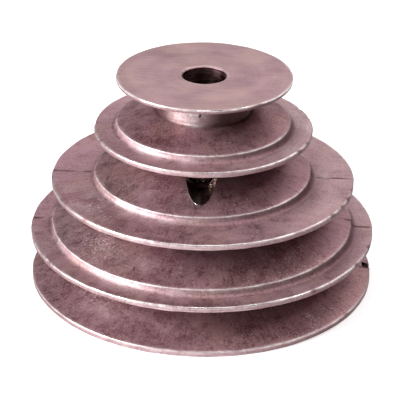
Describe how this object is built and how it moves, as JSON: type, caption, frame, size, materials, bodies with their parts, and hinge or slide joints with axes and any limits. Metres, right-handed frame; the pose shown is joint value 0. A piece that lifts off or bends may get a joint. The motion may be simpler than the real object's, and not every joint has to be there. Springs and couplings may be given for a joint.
{
  "type": "v belt pulley",
  "caption": "Stepped V-belt cone pulley: one die casting with grooves that grow towards the base, a plain shaft bore, a cored underside and a hex-socket set screw.",
  "frame": {"origin": "centre of the bore at the bottom face, under the largest step", "axes": "+Z along the bore towards the smallest step, -Y towards the set screw, +X along the parting plane"},
  "size_m": [0.1016, 0.1016, 0.0635],
  "materials": {
    "cast_metal": "die cast, faced on top, tarnished with a pinkish cast",
    "screw_steel": "black oxide with bright worn edges"
  },
  "bodies": {
    "pulley": {"pulley_casting": "cast_metal"},
    "screw": {"set_screw": "screw_steel"}
  },
  "joints": [
    {"name": "set_screw_travel", "type": "slide", "parent": "pulley", "child": "screw", "axis": [0, 1, 0], "range_m": [-0.004, 0.0022]}
  ]
}
